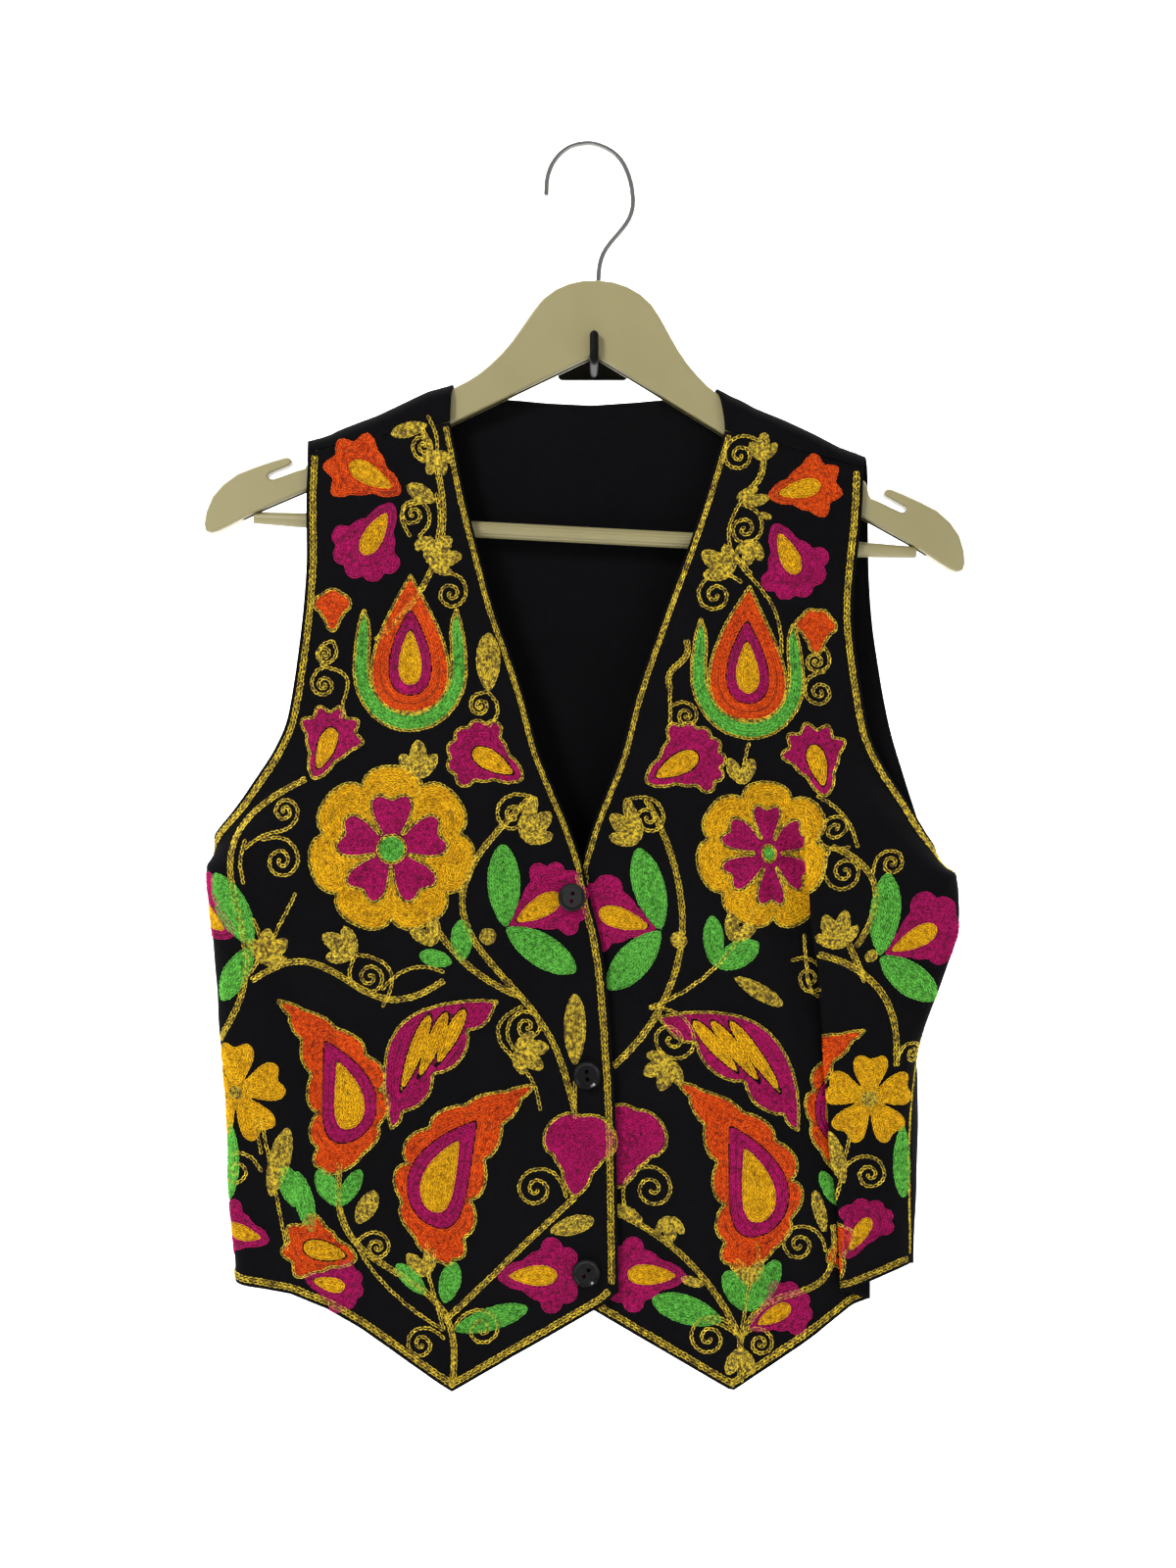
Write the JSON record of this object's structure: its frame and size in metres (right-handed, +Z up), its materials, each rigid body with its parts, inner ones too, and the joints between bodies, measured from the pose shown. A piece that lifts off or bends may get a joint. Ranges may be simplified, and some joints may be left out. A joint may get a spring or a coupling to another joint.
{
  "type": "embroidered folk vest on a hanger and wall hook",
  "caption": "Sleeveless V-neck folk vest with pointed fronts and embroidery, buttoned on a moulded hanger that hangs from a wall hook.",
  "frame": {"origin": "middle of the wall plate's back face, where the hook is fixed to the wall", "axes": "+X to the viewer's right, +Y into the wall, +Z up; the vest's front faces -Y"},
  "size_m": [0.4414, 0.0579, 0.7236],
  "materials": {
    "cloth_black": "matt plain-woven black cloth with raised chain-stitch embroidery",
    "button_black": "polished black",
    "hanger_plastic": "smooth satin beige",
    "hook_steel": "bright drawn wire",
    "wall_hook_black": "satin black paint"
  },
  "bodies": {
    "root": {"front_wearers_right": "cloth_black", "front_wearers_left": "cloth_black", "back": "cloth_black", "button_top": "button_black", "button_middle": "button_black", "button_bottom": "button_black", "hanger_body": "hanger_plastic", "steel_hook": "hook_steel", "wall_hook": "wall_hook_black"}
  },
  "joints": []
}
